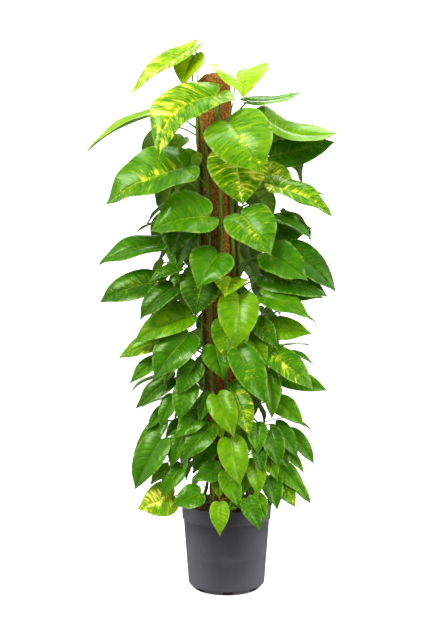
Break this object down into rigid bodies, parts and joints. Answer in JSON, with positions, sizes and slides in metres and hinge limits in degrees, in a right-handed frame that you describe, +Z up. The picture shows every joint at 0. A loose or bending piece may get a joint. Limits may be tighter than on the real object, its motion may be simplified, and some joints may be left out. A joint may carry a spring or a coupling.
{
  "type": "potted plant",
  "caption": "Climbing pothos with heart-shaped leaves on a coir pole, standing in a round nursery pot",
  "frame": {"origin": "middle of the pot's underside, on the floor", "axes": "+Z up along the pot's axis, -Y towards the plant's best side, +X to the viewer's right"},
  "size_m": [0.7569, 0.4757, 1.6331],
  "materials": {
    "pot_plastic": "dark grey, satin",
    "potting_mix": "crumbly dark brown potting mix",
    "stake_wood": "sawn, untreated",
    "coir": "rough brown coconut fibre",
    "leaf_green": "waxy green leaf with yellow flecks"
  },
  "bodies": {
    "root": {"pot": "pot_plastic", "soil": "potting_mix", "pole_stake": "stake_wood", "coir_sleeve": "coir", "vine_01": "leaf_green", "vine_02": "leaf_green", "vine_03": "leaf_green", "vine_04": "leaf_green", "vine_05": "leaf_green", "vine_06": "leaf_green", "vine_07": "leaf_green", "vine_08": "leaf_green", "vine_09": "leaf_green", "vine_10": "leaf_green"}
  },
  "joints": []
}
